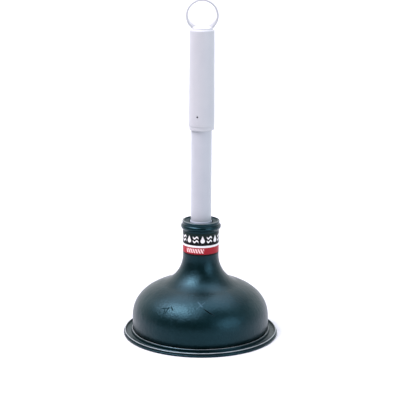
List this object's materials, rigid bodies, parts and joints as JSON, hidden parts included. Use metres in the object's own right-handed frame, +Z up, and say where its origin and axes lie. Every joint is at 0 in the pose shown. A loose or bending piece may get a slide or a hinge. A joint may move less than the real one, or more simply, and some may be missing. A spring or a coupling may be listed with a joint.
{
  "type": "sink plunger",
  "caption": "Sink plunger: bell-shaped rubber cup with a flanged rim on a coated steel pole, with a plastic grip and hanging ring.",
  "frame": {"origin": "on the floor, in the middle of the cup's rim", "axes": "+Z up along the pole; the front faces -Y; the hanging ring lies in the XZ plane"},
  "size_m": [0.167, 0.167, 0.3606],
  "materials": {
    "cup_rubber": "satin moulded rubber, very dark green-blue",
    "label_film": "printed film, dark with a white line and a red band",
    "tube_steel": "thin drawn steel",
    "pole_coating": "smooth white plastic coating with a cool tint",
    "plug_wood": "turned softwood",
    "boot_plastic": "soft white plastic",
    "zinc_steel": "bright zinc plating",
    "grip_plastic": "satin white moulded plastic",
    "rivet_steel": "dull steel"
  },
  "bodies": {
    "cup": {"rubber_cup": "cup_rubber"},
    "handle": {"neck_label": "label_film", "pole_tube": "tube_steel", "pole_sleeve": "pole_coating", "pole_plug": "plug_wood", "pole_end_boot": "boot_plastic", "crown_washer": "zinc_steel", "crown_screw": "zinc_steel", "grip": "grip_plastic", "grip_rivet": "rivet_steel"}
  },
  "joints": [
    {"name": "cup_press", "type": "slide", "parent": "cup", "child": "handle", "axis": [0, 0, 1], "range_m": [-0.03, 0], "stiffness_N_per_m": 2500, "springref_m": 0.002, "deforming": ["rubber_cup"]}
  ]
}
